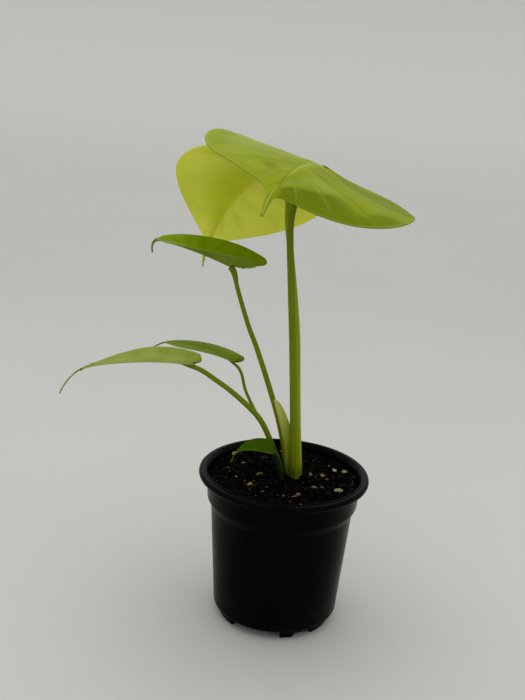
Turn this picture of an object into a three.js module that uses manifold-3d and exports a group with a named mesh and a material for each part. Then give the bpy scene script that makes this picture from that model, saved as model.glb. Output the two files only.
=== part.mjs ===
// A young golden green aroid with heart-shaped leaves, in its round nursery pot.
// Millimetres, +Z up, -Y is the front. The origin is the centre of the pot's foot plane.
import * as THREE from 'three';
import { mergeVertices } from 'three/addons/utils/BufferGeometryUtils.js';
import Module from 'manifold-3d';

const wasm = await Module();
wasm.setup();

// Driving dimensions

const gap = 0.3; // clear space kept between pieces that touch on the real plant
const weld = 1e-3; // corners closer than this are one corner

const pot = {
  height: 99.5,
  rimRadius: 54,
  lipRadius: 47.5, // inner edge of the rim
  collarRadius: 48.6, // upright band under the rim
  collarTop: 94.6,
  collarFoot: 80.5,
  stepFoot: 76, // the collar steps in to the tapered wall here
  stepRadius: 45.3,
  baseRadius: 40.3, // tapered wall at its lower end
  baseHeight: 9,
  footRadius: 36.2,
  footWidth: 2,
  padRadius: 8, // low centre pad under the floor
  floorUnderside: 2.6,
  floorTop: 4.2,
  wall: 1.3,
  segments: 48,
};

// Drain arches cut through the foot ring: centre in degrees from the front towards +X, width, height
const drainArches = [
  { at: -20, width: 34, height: 5.4 },
  { at: 30, width: 13, height: 3 },
];
const archRepeats = 3;

const soil = { level: 93.4, relief: 0.8, rings: 8, segments: 36 };

// Crumbs that show in the soil: place and half length
const bigCrumbs = [
  [-33, 31, 1.9],
  [-12.5, 29, 1.6],
  [-15.5, 5, 1.9],
  [-21, -14, 2.2],
  [-36, 9, 1.4],
  [33, 17, 1.9],
  [39.5, 13, 1.5],
  [17.5, 9, 1.5],
  [25, 9, 1.6],
  [19.5, -13, 2.1],
  [34, -15, 2.8],
  [9, -22, 1.7],
];
const smallCrumbs = { count: 20, least: 0.9, most: 1.5, reach: 43, clearOfCrown: 15, seed: 7 };

const crown = {
  x: 3.4,
  y: 4.2,
  top: 88.6,
  foot: 70,
  radius: 9.2,
  roots: 6,
  rootRadius: 1.4,
  rootReach: [22, 32], // least and most, out from the crown
  rootDepth: [37, 48], // least and most, below its foot
  seed: 3,
};

// Half outline of every blade, as [along the midrib, across]: attach point 0, end of the body 1
const halfOutline = [
  [-0.07, 0.07],
  [-0.18, 0.2],
  [-0.25, 0.42],
  [-0.21, 0.68],
  [-0.06, 0.9],
  [0.15, 1],
  [0.38, 0.95],
  [0.61, 0.72],
  [0.8, 0.4],
  [0.93, 0.13],
];
const tipNeck = 0.045; // half width where the drip tip starts
const basalShare = 0.24; // share of the margin fed by veins that start at the attach point
const bladeThickness = 0.8;

// One entry for each leaf. attach is where blade and stalk meet. heading 0 points to the front,
// and a positive one turns to +X. Each half of the blade has its own fold at the midrib and its own
// curl, in degrees: at the attach point, and what is added by the end of the midrib.
const leaves = {
  front: {
    attach: [9.6, -6, 292.6],
    length: 104.9,
    width: 126.7,
    heading: -16.4,
    pitch: 13.3,
    roll: -7.9,
    bend: 27.9,
    hook: 25.8,
    lobeLift: -8.2,
    twist: -9.9,
    lobe: 1.35,
    drip: 0.16,
    fullness: 0.93,
    left: { fold: 3.8, curl: -3.2, curlGain: -32, wave: 2.7, phase: 0.77 },
    right: { fold: -26.1, foldGain: -1.3, curl: 20.3, curlGain: 2.3, wave: -2.6, phase: 0.18 },
    rows: 24,
    columns: 6,
    stalk: [
      [7, 3, 89],
      [6.7, 3, 93],
      [4, 1.4, 126.4],
      [-0.4, -1.2, 179.7],
      [-4.2, -3.2, 217.8],
      [-7.4, -4.9, 250.8],
      [-7, -5.7, 265.2],
      [-3.6, -6, 277],
      [4, -6, 287],
      [8.9, -6, 291.1],
    ],
    stalkRadius: [2.9, 2.35, 1.9],
    stalkSides: 8,
    stalkSteps: 26,
    color: 0x96a636,
  },
  golden: {
    attach: [-22, 10, 284.9],
    length: 102.7,
    width: 95,
    heading: -150.8,
    pitch: -23.6,
    roll: 21.7,
    bend: 27.3,
    hook: 33.4,
    lobeLift: -7.4,
    twist: 10.1,
    lobe: 0.89,
    drip: 0.15,
    fullness: 1.16,
    left: { fold: -9.4, curl: 15.8 },
    right: { fold: 2.5, curl: -6.2 },
    rows: 24,
    columns: 6,
    stalk: [
      [10.8, 8.5, 89],
      [10.5, 8.4, 93],
      [5.4, 8.6, 148],
      [1.1, 9, 189.6],
      [-5.1, 9.4, 232.1],
      [-9.1, 9.7, 255.6],
      [-9.9, 9.2, 268],
      [-12.6, 8, 276.5],
      [-18, 7.6, 280.4],
      [-22.5, 8.5, 282.9],
    ],
    stalkRadius: [2.8, 2.2, 1.7],
    stalkSides: 8,
    stalkSteps: 26,
    color: 0xb0b840,
  },
  mid: {
    attach: [-41.1, -2, 230.3],
    length: 56.9,
    width: 37.8,
    heading: -119.6,
    pitch: 13.5,
    roll: -13.4,
    bend: 12.6,
    hook: 117,
    lobeLift: -8.2,
    twist: 3.2,
    lobe: 1.42,
    drip: 0.16,
    fullness: 0.6,
    left: { fold: 30.6, foldGain: -15, curl: -36 },
    right: { fold: 71.2, foldGain: -40.3, curl: -48.9 },
    rows: 20,
    columns: 4,
    stalk: [
      [2.3, 7, 89],
      [2.1, 7, 96.3],
      [-3.7, 5.3, 122.9],
      [-10.7, 3.8, 145.8],
      [-22.1, 1.7, 177.2],
      [-28.5, 0.6, 192.5],
      [-36.2, -0.9, 215],
      [-39.4, -1.8, 226],
      [-41.6, -2, 228.9],
    ],
    stalkRadius: [1.9, 1.7, 1.3],
    stalkSides: 6,
    stalkSteps: 22,
    sheath: {
      route: [
        [2.8, 6.4, 89],
        [2.6, 6.2, 95],
        [0.8, 5.6, 110],
        [-1.7, 5.1, 125],
        [-5.6, 4.4, 138],
        [-8.6, 4, 146],
      ],
      width: 2.4,
      depth: 1.2,
    },
    color: 0x5f7a14,
  },
  low: {
    attach: [-57.8, -18, 172.2],
    length: 78.2,
    width: 31.1,
    heading: -93.4,
    pitch: 7,
    roll: 27.8,
    bend: 44.6,
    bendPower: 1.56,
    hook: 32,
    lobeLift: -37.5,
    twist: -35.9,
    lobe: 0,
    drip: 0.21,
    fullness: 1.6,
    left: { fold: 21.8, foldGain: -43.9, curl: 33.6 },
    right: { fold: -16, foldGain: 8.2, curl: 7.9 },
    rows: 20,
    columns: 4,
    stalk: [
      [-1.6, 3, 89],
      [-2, 3, 97],
      [-8.9, -1.2, 116.3],
      [-18.3, -6.9, 136],
      [-34.2, -11.9, 152.5],
      [-47.6, -15.3, 163],
      [-54.6, -17.2, 168.4],
      [-58, -18.2, 170.3],
    ],
    stalkRadius: [1.8, 1.7, 1.4],
    stalkSides: 6,
    stalkSteps: 20,
    color: 0x7d9030,
  },
  back: {
    attach: [-36.4, 12, 165.2],
    length: 47.8,
    width: 28.7,
    heading: -103.1,
    pitch: 25.7,
    roll: -6,
    bend: 34.7,
    hook: 42.2,
    lobeLift: -52,
    twist: 10.4,
    lobe: 0.31,
    drip: 0.22,
    fullness: 0.85,
    left: { fold: 11.3, foldGain: -8, curl: -28.6 },
    right: { fold: 24.9, foldGain: -39.3, curl: 5.5 },
    rows: 18,
    columns: 4,
    stalk: [
      [-2.9, 7.2, 89],
      [-2.9, 7.2, 99],
      [-12.1, 8.5, 119.6],
      [-21.8, 9.8, 135.4],
      [-28, 10.8, 147.4],
      [-31.1, 11.5, 157.6],
      [-34.2, 11.9, 162],
      [-37, 12.1, 163.6],
    ],
    stalkRadius: [1.1, 1, 0.9],
    stalkSides: 6,
    stalkSteps: 20,
    color: 0x6f8428,
  },
  soil: {
    attach: [-8.4, -8, 116.4],
    length: 26.3,
    width: 11.8,
    heading: -79,
    pitch: 14.5,
    roll: 17.3,
    bend: 71.3,
    bendPower: 2,
    hook: 18.7,
    lobeLift: -59,
    twist: 5.6,
    lobe: 0,
    drip: 0.2,
    fullness: 1.2,
    left: { fold: 48.5, curl: 37 },
    right: { fold: -20.5, curl: -13.3 },
    rows: 14,
    columns: 3,
    stalk: [
      [-1.6, -1.6, 89],
      [-1.2, -2.2, 96],
      [-3.9, -4.9, 107.9],
      [-6.3, -6.7, 113],
      [-8.8, -7.6, 115],
    ],
    stalkRadius: [1.5, 1.2, 0.9],
    stalkSides: 6,
    stalkSteps: 10,
    color: 0x84912a,
  },
};
const marginWaves = 1.5; // waves along each half's margin

// Small helpers

function radians(degrees) {
  return THREE.MathUtils.degToRad(degrees);
}

function random(seed) {
  let state = seed;
  return () => {
    state = (state * 1664525 + 1013904223) % 4294967296;
    return state / 4294967296;
  };
}

function signedVolume(position, index) {
  const corners = [new THREE.Vector3(), new THREE.Vector3(), new THREE.Vector3()];
  let volume = 0;
  for (let i = 0; i < index.count; i += 3) {
    corners.forEach((corner, k) => corner.fromBufferAttribute(position, index.getX(i + k)));
    volume += corners[0].dot(corners[1].cross(corners[2])) / 6;
  }
  return volume;
}

// A closed geometry as a solid: only positions are kept, and the faces are turned outwards
function toSolid(geometry) {
  const bare = geometry.clone();
  bare.deleteAttribute('normal');
  bare.deleteAttribute('uv');
  const merged = mergeVertices(bare, weld);
  const inward = signedVolume(merged.attributes.position, merged.index) < 0;
  const triVerts = [];
  for (let i = 0; i < merged.index.count; i += 3) {
    const [a, b, c] = [0, 1, 2].map((k) => merged.index.getX(i + k));
    if (a === b || b === c || c === a) continue;
    triVerts.push(...(inward ? [a, c, b] : [a, b, c]));
  }
  const mesh = new wasm.Mesh({
    numProp: 3,
    vertProperties: new Float32Array(merged.attributes.position.array),
    triVerts: new Uint32Array(triVerts),
  });
  return new wasm.Manifold(mesh);
}

function toGeometry(solid) {
  const mesh = solid.getMesh();
  const geometry = new THREE.BufferGeometry();
  geometry.setAttribute('position', new THREE.BufferAttribute(mesh.vertProperties, 3));
  geometry.setIndex(new THREE.BufferAttribute(mesh.triVerts, 1));
  geometry.computeVertexNormals();
  return geometry;
}

// What is left of a cut piece once its scraps are dropped
function largestPiece(solid) {
  const pieces = toSolid(toGeometry(solid)).decompose();
  return pieces.reduce((best, piece) => (piece.volume() > best.volume() ? piece : best));
}

// A solid of revolution about +Z from [radius, height] points, which start and end on the axis
function lathe(profile, segments) {
  const points = profile.map(([radius, height]) => new THREE.Vector2(radius, height));
  return new THREE.LatheGeometry(points, segments).rotateX(Math.PI / 2);
}

// A closed tapered tube along a curve: a cylinder whose rings are carried onto the curve
function taperedTube(curve, radiusAt, sides, steps) {
  const tube = new THREE.CylinderGeometry(1, 1, 1, sides, steps);
  const frames = curve.computeFrenetFrames(steps);
  const vertex = new THREE.Vector3();
  for (let i = 0; i < tube.attributes.position.count; i += 1) {
    vertex.fromBufferAttribute(tube.attributes.position, i);
    const step = Math.round((vertex.y + 0.5) * steps);
    const radius = radiusAt(step / steps);
    const point = curve.getPointAt(step / steps);
    point.addScaledVector(frames.normals[step], vertex.x * radius);
    point.addScaledVector(frames.binormals[step], vertex.z * radius);
    tube.attributes.position.setXYZ(i, point.x, point.y, point.z);
  }
  return tube;
}

// Pot

function drainCutter({ at, width, height }) {
  const inner = pot.footRadius - 5;
  const outer = pot.baseRadius + 4;
  const length = outer - inner;
  const cutter = new THREE.BoxGeometry(width, length, height + 1);
  cutter.translate(0, -(inner + length / 2), (height - 1) / 2);
  return toSolid(cutter.rotateZ(radians(at)));
}

function buildPot() {
  const profile = [
    [0, 0],
    [pot.padRadius, 0],
    [pot.padRadius + 1.5, pot.floorUnderside],
    [pot.footRadius - pot.footWidth - 1, pot.floorUnderside],
    [pot.footRadius - pot.footWidth, 0],
    [pot.footRadius, 0],
    [pot.footRadius + 0.8, 4],
    [pot.baseRadius - 1, pot.baseHeight - 2.4],
    [pot.baseRadius, pot.baseHeight],
    [pot.stepRadius, pot.stepFoot],
    [pot.collarRadius - 0.8, pot.collarFoot],
    [pot.collarRadius, pot.collarTop],
    [pot.rimRadius - 0.9, pot.collarTop + 0.4],
    [pot.rimRadius, pot.collarTop + 1.6],
    [pot.rimRadius - 0.2, pot.height - 1.5],
    [pot.rimRadius - 1.6, pot.height - 0.4],
    [pot.lipRadius + 2, pot.height - 0.5],
    [pot.lipRadius + 1.2, pot.height],
    [pot.lipRadius, pot.height - 0.6],
    [pot.collarRadius - pot.wall, pot.collarTop],
    [pot.collarRadius - 0.8 - pot.wall, pot.collarFoot + 0.7],
    [pot.stepRadius - pot.wall, pot.stepFoot + 0.8],
    [pot.baseRadius - pot.wall, pot.baseHeight + 0.6],
    [pot.footRadius, pot.floorTop],
    [0, pot.floorTop],
  ];
  let solid = toSolid(lathe(profile, pot.segments));
  for (let turn = 0; turn < archRepeats; turn += 1) {
    for (const arch of drainArches) {
      solid = solid.subtract(drainCutter({ ...arch, at: arch.at + (turn * 360) / archRepeats }));
    }
  }
  return solid;
}

// Soil, with the crown's hollow and the stalks' holes left plain

function soilHeight(x, y) {
  const swell = Math.sin(0.17 * x + 0.9) * Math.cos(0.15 * y - 0.5);
  const lumps = 0.6 * Math.sin(0.43 * x - 0.31 * y + 1.1) + 0.45 * Math.sin(0.71 * x + 0.55 * y);
  const bank = 1.1 * THREE.MathUtils.smoothstep(Math.hypot(x, y), 30, 46);
  return soil.level + soil.relief * (swell + lumps) + bank;
}

function crumb(x, y, size, spin) {
  const stone = new THREE.IcosahedronGeometry(size, 0);
  stone.scale(1, 0.75, 0.65);
  stone.rotateZ(spin);
  stone.translate(x, y, soilHeight(x, y) + size * 0.12);
  return toSolid(stone);
}

function crumbs() {
  const draw = random(smallCrumbs.seed);
  const placed = bigCrumbs.map(([x, y, size]) => crumb(x, y, size, draw() * Math.PI));
  while (placed.length < bigCrumbs.length + smallCrumbs.count) {
    const reach = smallCrumbs.reach * Math.sqrt(draw());
    const angle = draw() * 2 * Math.PI;
    const [x, y] = [reach * Math.cos(angle), reach * Math.sin(angle)];
    const size = THREE.MathUtils.lerp(smallCrumbs.least, smallCrumbs.most, draw());
    if (Math.hypot(x - crown.x, y - crown.y) < smallCrumbs.clearOfCrown) continue;
    placed.push(crumb(x, y, size, draw() * Math.PI));
  }
  return placed;
}

function buildSoil() {
  const inner = (radius) => radius - pot.wall - gap;
  const edge = inner(pot.collarRadius) - 0.3;
  const profile = [
    [0, pot.floorTop + gap],
    [pot.footRadius - 0.6, pot.floorTop + gap],
    [inner(pot.baseRadius), pot.baseHeight + 1],
    [inner(pot.stepRadius), pot.stepFoot + 1.2],
    [inner(pot.collarRadius) - 0.8, pot.collarFoot + 1.2],
  ];
  for (let ring = soil.rings; ring >= 0; ring -= 1) {
    profile.push([(edge * ring) / soil.rings, soil.level]);
  }
  const body = lathe(profile, soil.segments);
  const { position } = body.attributes;
  for (let i = 0; i < position.count; i += 1) {
    if (position.getZ(i) > soil.level - 0.01) {
      position.setZ(i, soilHeight(position.getX(i), position.getY(i)));
    }
  }
  return wasm.Manifold.union([toSolid(body), ...crumbs()]);
}

// Crown and roots, inside the soil

function buildCrown(clearance) {
  const { foot, top, radius } = crown;
  const stem = lathe(
    [
      [0, foot - clearance],
      [radius * 0.4 + clearance, foot - clearance],
      [radius * 0.75 + clearance, foot + 8],
      [radius + clearance, top - 5],
      [radius + clearance, top + clearance],
      [0, top + clearance],
    ],
    16,
  ).translate(crown.x, crown.y, 0);
  const pieces = [toSolid(stem)];
  const draw = random(crown.seed);
  for (let i = 0; i < crown.roots; i += 1) {
    const angle = ((i + 0.5 * draw()) * 2 * Math.PI) / crown.roots;
    const reach = THREE.MathUtils.lerp(...crown.rootReach, draw());
    const depth = THREE.MathUtils.lerp(...crown.rootDepth, draw());
    const place = (share, z) =>
      new THREE.Vector3(crown.x + share * reach * Math.cos(angle), crown.y + share * reach * Math.sin(angle), z);
    const route = new THREE.CatmullRomCurve3([
      place(0.1, foot + 6),
      place(0.45, foot - 3),
      place(0.8, foot - 16),
      place(1, foot - depth),
    ]);
    const taper = (t) => THREE.MathUtils.lerp(crown.rootRadius, crown.rootRadius * 0.6, t) + clearance;
    pieces.push(toSolid(taperedTube(route, taper, 5, 6)));
  }
  return wasm.Manifold.union(pieces);
}

// Blades

// The midrib as a curve in its upright plane: reach and rise from the attach point, and slope
function midribCurve(leaf) {
  const start = -0.5;
  const end = 1 + leaf.drip;
  const steps = 160;
  const step = (end - start) / steps;
  const slopeAt = (s) => {
    if (s < 0) return radians(leaf.pitch + leaf.lobeLift * Math.min(-s / 0.25, 2));
    const hooked = THREE.MathUtils.clamp((s - 0.93) / (leaf.drip + 0.07), 0, 1);
    return radians(leaf.pitch - leaf.bend * Math.min(s, 1) ** (leaf.bendPower ?? 1) - leaf.hook * hooked);
  };
  const walk = [{ reach: 0, rise: 0 }];
  for (let i = 0; i < steps; i += 1) {
    const slope = (slopeAt(start + i * step) + slopeAt(start + (i + 1) * step)) / 2;
    const last = walk[i];
    walk.push({
      reach: last.reach + Math.cos(slope) * step * leaf.length,
      rise: last.rise + Math.sin(slope) * step * leaf.length,
    });
  }
  const between = (s) => {
    const place = THREE.MathUtils.clamp((s - start) / step, 0, steps - 1e-6);
    const i = Math.floor(place);
    const share = place - i;
    return {
      reach: THREE.MathUtils.lerp(walk[i].reach, walk[i + 1].reach, share),
      rise: THREE.MathUtils.lerp(walk[i].rise, walk[i + 1].rise, share),
    };
  };
  const origin = between(0);
  return (s) => {
    const { reach, rise } = between(s);
    return { reach: reach - origin.reach, rise: rise - origin.rise, slope: slopeAt(s) };
  };
}

function marginCurve(leaf) {
  const points = halfOutline.map(([along, across]) => {
    const lobed = along < 0 ? along * leaf.lobe : along;
    const full = along > 0.3 ? across ** leaf.fullness : across;
    return new THREE.Vector2(lobed, full);
  });
  points.push(new THREE.Vector2(1, tipNeck));
  points.push(new THREE.Vector2(1 + leaf.drip / 2, 0.025));
  points.push(new THREE.Vector2(1 + leaf.drip, 0.008));
  return new THREE.SplineCurve(points);
}

// Where on the midrib the side vein to this margin point starts
function veinFoot(leaf, edge, v) {
  const climb = Math.max(0, (v - basalShare) / (1 - basalShare)) ** 1.15 * (1 + leaf.drip);
  return Math.min(climb, Math.max(edge.x, 0));
}

// A point of the blade's middle surface: side -1 or 1, across 0 at the midrib and 1 at the margin,
// v 0 at the sinus and 1 at the tip
function bladePoint(leaf, midrib, margin, side, across, v) {
  const edge = margin.getPoint(v);
  const foot = veinFoot(leaf, edge, v);
  const along = THREE.MathUtils.lerp(foot, edge.x, across);
  const spread = edge.y * across;
  const half = side < 0 ? leaf.left : leaf.right;
  const fold = radians(half.fold + (half.foldGain ?? 0) * along);
  let curl = radians(half.curl + (half.curlGain ?? 0) * along);
  if (Math.abs(curl) < 1e-4) curl = 1e-4;
  const reachOut = ((leaf.width / 2) * (Math.sin(fold + curl * spread) - Math.sin(fold))) / curl;
  const folded = ((leaf.width / 2) * (Math.cos(fold) - Math.cos(fold + curl * spread))) / curl;
  const ripple = Math.sin(2 * Math.PI * (marginWaves * v + (half.phase ?? 0)));
  const riseOut = folded + (half.wave ?? 0) * ripple * spread * across;
  const { reach, rise, slope } = midrib(along);
  const turn = radians(leaf.heading);
  const ahead = new THREE.Vector3(Math.sin(turn), -Math.cos(turn), 0);
  const sideways = new THREE.Vector3(Math.cos(turn), Math.sin(turn), 0);
  const up = new THREE.Vector3(0, 0, 1);
  const normal = ahead.clone().multiplyScalar(-Math.sin(slope)).addScaledVector(up, Math.cos(slope));
  const roll = radians(leaf.roll + leaf.twist * along);
  const rolledSide = sideways.clone().multiplyScalar(Math.cos(roll)).addScaledVector(normal, Math.sin(roll));
  const rolledUp = normal.multiplyScalar(Math.cos(roll)).addScaledVector(sideways, -Math.sin(roll));
  return new THREE.Vector3(...leaf.attach)
    .addScaledVector(ahead, reach)
    .addScaledVector(up, rise)
    .addScaledVector(rolledSide, side * reachOut)
    .addScaledVector(rolledUp, riseOut);
}

// The middle surface as a grid from margin to margin, with one shared vertex at the attach point
function bladeSheet(leaf) {
  const midrib = midribCurve(leaf);
  const margin = marginCurve(leaf);
  const width = 2 * leaf.columns + 1;
  const positions = [];
  const ids = [];
  for (let row = 0; row <= leaf.rows; row += 1) {
    for (let column = 0; column < width; column += 1) {
      const offset = column - leaf.columns;
      const v = row / leaf.rows;
      if (offset === 0 && row > 0 && veinFoot(leaf, margin.getPoint(v), v) === 0) {
        ids.push(ids[leaf.columns]);
        continue;
      }
      ids.push(positions.length / 3);
      const point = bladePoint(leaf, midrib, margin, Math.sign(offset), Math.abs(offset) / leaf.columns, v);
      positions.push(point.x, point.y, point.z);
    }
  }
  const faces = [];
  for (let row = 0; row < leaf.rows; row += 1) {
    for (let column = 0; column < width - 1; column += 1) {
      const corner = row * width + column;
      const [a, b, c, d] = [corner, corner + 1, corner + width + 1, corner + width].map((k) => ids[k]);
      const cut = column < leaf.columns ? [[a, b, d], [b, c, d]] : [[a, b, c], [a, c, d]];
      faces.push(...cut.filter((face) => new Set(face).size === 3));
    }
  }
  return { positions, faces };
}

// Edges that only one face uses, in that face's direction
function openEdges(faces) {
  const edges = new Map();
  for (const face of faces) {
    face.forEach((from, k) => {
      const to = face[(k + 1) % 3];
      if (!edges.delete(`${to},${from}`)) edges.set(`${from},${to}`, [from, to]);
    });
  }
  return [...edges.values()];
}

function bladeSolid(leaf) {
  const { positions, faces } = bladeSheet(leaf);
  const sheet = new THREE.BufferGeometry();
  sheet.setAttribute('position', new THREE.Float32BufferAttribute(positions, 3));
  sheet.setIndex(faces.flat());
  sheet.computeVertexNormals();
  const count = positions.length / 3;
  const both = [];
  for (const offset of [bladeThickness / 2, -bladeThickness / 2]) {
    for (let i = 0; i < count; i += 1) {
      const normal = new THREE.Vector3().fromBufferAttribute(sheet.attributes.normal, i);
      const point = new THREE.Vector3().fromBufferAttribute(sheet.attributes.position, i);
      point.addScaledVector(normal, offset);
      both.push(point.x, point.y, point.z);
    }
  }
  const under = faces.map(([a, b, c]) => [a + count, c + count, b + count]);
  const walls = openEdges(faces).flatMap(([a, b]) => [
    [b, a, a + count],
    [b, a + count, b + count],
  ]);
  const closed = new THREE.BufferGeometry();
  closed.setAttribute('position', new THREE.Float32BufferAttribute(both, 3));
  closed.setIndex([...faces, ...under, ...walls].flat());
  return toSolid(closed);
}

// Stalks

// A stalk from the crown to just under its blade. clearance widens it and lets it reach as far below
// its foot.
function stalkSolid(leaf, clearance = 0) {
  const points = leaf.stalk.map((point) => new THREE.Vector3(...point));
  points[0].z -= clearance;
  const route = new THREE.CatmullRomCurve3(points);
  const [foot, middle, top] = leaf.stalkRadius;
  const radiusAt = (t) => {
    const flare = THREE.MathUtils.lerp(foot, middle, THREE.MathUtils.smoothstep(t, 0, 0.25));
    return THREE.MathUtils.lerp(flare, top, THREE.MathUtils.smoothstep(t, 0.4, 1)) + clearance;
  };
  const stalk = toSolid(taperedTube(route, radiusAt, leaf.stalkSides, leaf.stalkSteps));
  return leaf.sheath ? stalk.add(sheathSolid(leaf.sheath, clearance)) : stalk;
}

// The pointed wing beside a young stalk: a flattened tube that widens towards the soil
function sheathSolid({ route, width, depth }, clearance) {
  const points = route.map((point) => new THREE.Vector3(...point));
  points[0].z -= clearance;
  const curve = new THREE.CatmullRomCurve3(points);
  const unit = taperedTube(curve, () => 1, 6, 8);
  const { position } = unit.attributes;
  const vertex = new THREE.Vector3();
  for (let i = 0; i < position.count; i += 1) {
    vertex.fromBufferAttribute(position, i);
    const t = THREE.MathUtils.clamp((vertex.z - points[0].z) / (points.at(-1).z - points[0].z), 0, 1);
    const centre = curve.getPointAt(t);
    const narrow = 1 - t ** 1.5;
    const x = centre.x + (vertex.x - centre.x) * (width * narrow + clearance + 0.25);
    const y = centre.y + (vertex.y - centre.y) * (depth * narrow + clearance + 0.25);
    position.setXYZ(i, x, y, vertex.z);
  }
  return toSolid(unit);
}

// Assembly

const plant = new THREE.Group();

function addPiece(name, solid, look) {
  const piece = new THREE.Mesh(toGeometry(solid), new THREE.MeshStandardMaterial(look));
  piece.name = name;
  plant.add(piece);
}

const names = Object.keys(leaves);

const holes = [buildCrown(gap), ...names.map((name) => stalkSolid(leaves[name], gap))];
addPiece('pot', buildPot(), { color: 0x17181a, roughness: 0.38, metalness: 0 });
addPiece('soil', largestPiece(buildSoil().subtract(wasm.Manifold.union(holes))), {
  color: 0x1d1915,
  roughness: 1,
  metalness: 0,
});
addPiece('crown', buildCrown(0), { color: 0xb9b58a, roughness: 0.7, metalness: 0 });
for (const name of names) {
  addPiece(`leaf_${name}`, bladeSolid(leaves[name]), { color: leaves[name].color, roughness: 0.4, metalness: 0 });
  addPiece(`stalk_${name}`, stalkSolid(leaves[name]), { color: 0x74801c, roughness: 0.45, metalness: 0 });
}

export default plant;
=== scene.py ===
import math
import random

import bmesh
import bpy
from mathutils import Matrix, Vector, noise


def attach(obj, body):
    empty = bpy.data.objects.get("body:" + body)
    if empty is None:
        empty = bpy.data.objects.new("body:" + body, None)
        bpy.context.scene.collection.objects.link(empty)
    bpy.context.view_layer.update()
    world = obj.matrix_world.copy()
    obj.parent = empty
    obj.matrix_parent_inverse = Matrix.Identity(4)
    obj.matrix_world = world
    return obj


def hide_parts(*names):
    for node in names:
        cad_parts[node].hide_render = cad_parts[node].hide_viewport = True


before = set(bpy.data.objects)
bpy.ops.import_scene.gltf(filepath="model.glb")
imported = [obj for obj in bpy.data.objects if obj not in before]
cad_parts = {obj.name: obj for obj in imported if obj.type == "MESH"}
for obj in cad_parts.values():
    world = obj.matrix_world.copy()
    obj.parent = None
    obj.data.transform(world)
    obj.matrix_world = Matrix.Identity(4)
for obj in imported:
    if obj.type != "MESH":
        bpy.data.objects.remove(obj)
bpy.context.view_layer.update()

mm = 0.001
print("frame loaded,", len(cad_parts), "nodes")


def lerp(a, b, t):
    return a + (b - a) * t


def clamp(x, low=0.0, high=1.0):
    return min(max(x, low), high)


def smooth(a, b, x):
    t = clamp((x - a) / (b - a))
    return t * t * (3 - 2 * t)


def hump(x, centre, width):
    return math.exp(-((x - centre) / width) ** 2)


def between(a, b, c, d, t):
    # the smooth curve from b to c, led by the points before and after them
    return 0.5 * (2 * b + (c - a) * t + (2 * a - 5 * b + 4 * c - d) * t * t
                  + (3 * b - a - 3 * c + d) * t ** 3)


# shader sockets that can be used in plain maths
class Sock:
    def __init__(self, finish, out):
        self.finish = finish
        self.out = out

    def op(self, operation, *others, flip=False):
        values = (*others, self) if flip else (self, *others)
        return self.finish.node("ShaderNodeMath", {"operation": operation}, dict(enumerate(values)))

    def __add__(self, other):
        return self.op("ADD", other)

    __radd__ = __add__

    def __sub__(self, other):
        return self.op("SUBTRACT", other)

    def __rsub__(self, other):
        return self.op("SUBTRACT", other, flip=True)

    def __mul__(self, other):
        return self.op("MULTIPLY", other)

    __rmul__ = __mul__

    def abs(self):
        return self.op("ABSOLUTE")

    def sin(self):
        return self.op("SINE")

    def fract(self):
        return self.op("FRACT")

    def least(self, other):
        return self.op("MINIMUM", other)

    def most(self, other):
        return self.op("MAXIMUM", other)

    def steps(self, low, high, start=0.0, end=1.0):
        return self.finish.node("ShaderNodeMapRange", {"interpolation_type": "SMOOTHSTEP"},
                                {0: self, 1: low, 2: high, 3: start, 4: end})


# one material and its nodes
class Finish:
    def __init__(self, name):
        self.material = bpy.data.materials.new(name)
        self.material.use_nodes = True
        self.tree = self.material.node_tree
        self.tree.nodes.clear()

    def node(self, kind, settings=None, sockets=None, out=0):
        made = self.tree.nodes.new(kind)
        for key, value in (settings or {}).items():
            setattr(made, key, value)
        for key, value in (sockets or {}).items():
            if isinstance(value, Sock):
                self.tree.links.new(value.out, made.inputs[key])
            else:
                made.inputs[key].default_value = value
        return Sock(self, made.outputs[out]) if len(made.outputs) else None

    def coords(self):
        return self.node("ShaderNodeTexCoord", out="Object")

    def part(self, vector, axis):
        return self.node("ShaderNodeSeparateXYZ", None, {0: vector}, out=axis)

    def uv(self):
        place = self.node("ShaderNodeUVMap", {"uv_map": "surface"})
        return self.part(place, "X"), self.part(place, "Y")

    def noise(self, scale, detail, rough, vector=None):
        return self.node("ShaderNodeTexNoise", None, {
            "Vector": vector or self.coords(), "Scale": scale, "Detail": detail,
            "Roughness": rough}, out="Fac")

    def cells(self, scale):
        return self.node("ShaderNodeTexVoronoi", None, {
            "Vector": self.coords(), "Scale": scale}, out="Distance")

    def stretched(self, scale):
        return self.node("ShaderNodeMapping", None, {"Vector": self.coords(), "Scale": scale})

    def joined(self, x, y, z):
        return self.node("ShaderNodeCombineXYZ", None, {0: x, 1: y, 2: z})

    def mix(self, share, a, b):
        sides = [value if isinstance(value, Sock) else (*value, 1) for value in (a, b)]
        return self.node("ShaderNodeMix", {"data_type": "RGBA"}, {0: share, 6: sides[0], 7: sides[1]}, out=2)

    def bumped(self, height, depth, strength):
        return self.node("ShaderNodeBump", None, {"Strength": strength, "Distance": depth, "Height": height})

    def solid(self, color, roughness, normal, constants):
        return self.node("ShaderNodeBsdfPrincipled", None, {
            "Base Color": color, "Roughness": roughness, "Normal": normal, **constants})

    def end(self, shader):
        self.node("ShaderNodeOutputMaterial", None, {0: shader})
        return self.material


# mesh helpers
def newObject(bm, name, materials, shade=True):
    mesh = bpy.data.meshes.new(name)
    bm.to_mesh(mesh)
    bm.free()
    for material in materials:
        mesh.materials.append(material)
    for polygon in mesh.polygons:
        polygon.use_smooth = shade
    made = bpy.data.objects.new(name, mesh)
    bpy.context.scene.collection.objects.link(made)
    return made


def keep(bm, name, materials, shade=True):
    piece = newObject(bm, name, materials, shade)
    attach(piece, "root")
    return piece


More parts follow.
